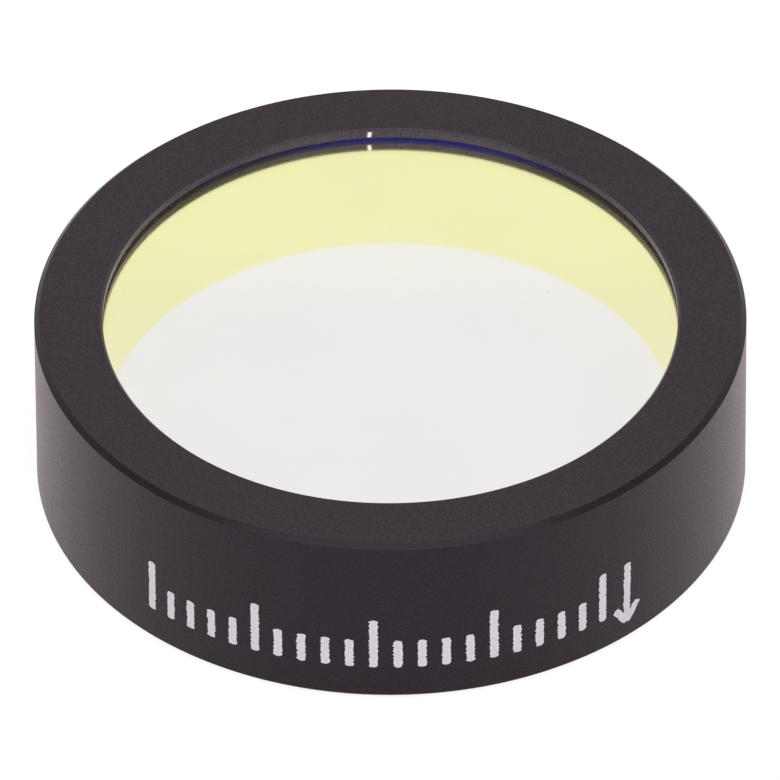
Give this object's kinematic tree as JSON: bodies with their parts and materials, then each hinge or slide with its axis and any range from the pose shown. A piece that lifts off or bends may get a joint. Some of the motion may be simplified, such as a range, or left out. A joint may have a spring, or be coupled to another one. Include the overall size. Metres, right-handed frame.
{
  "type": "optical bandpass filter",
  "caption": "Small round optical bandpass filter: a coated glass plate seated under the thin front lip of a black ring and held from behind by a flush retaining ring.",
  "frame": {"origin": "centre of the rear face, on which the ring stands", "axes": "+Z along the optical axis, from the rear face to the coated front face; the ring is round, and the pale mark on its rim lies towards -Y"},
  "size_m": [0.0125, 0.0124, 0.0035],
  "materials": {
    "black_anodising": "matt black anodising on turned aluminium, with a pale engraved mark on the rim",
    "retainer_anodising": "matt black anodising on turned aluminium",
    "filter_glass": "polished plate, coated to mirror yellow and pass blue",
    "set_adhesive": "black adhesive, set"
  },
  "bodies": {
    "root": {"housing_ring": "black_anodising", "filter_substrate": "filter_glass", "glass_bond": "set_adhesive", "retaining_ring": "retainer_anodising", "ring_bond": "set_adhesive"}
  },
  "joints": []
}
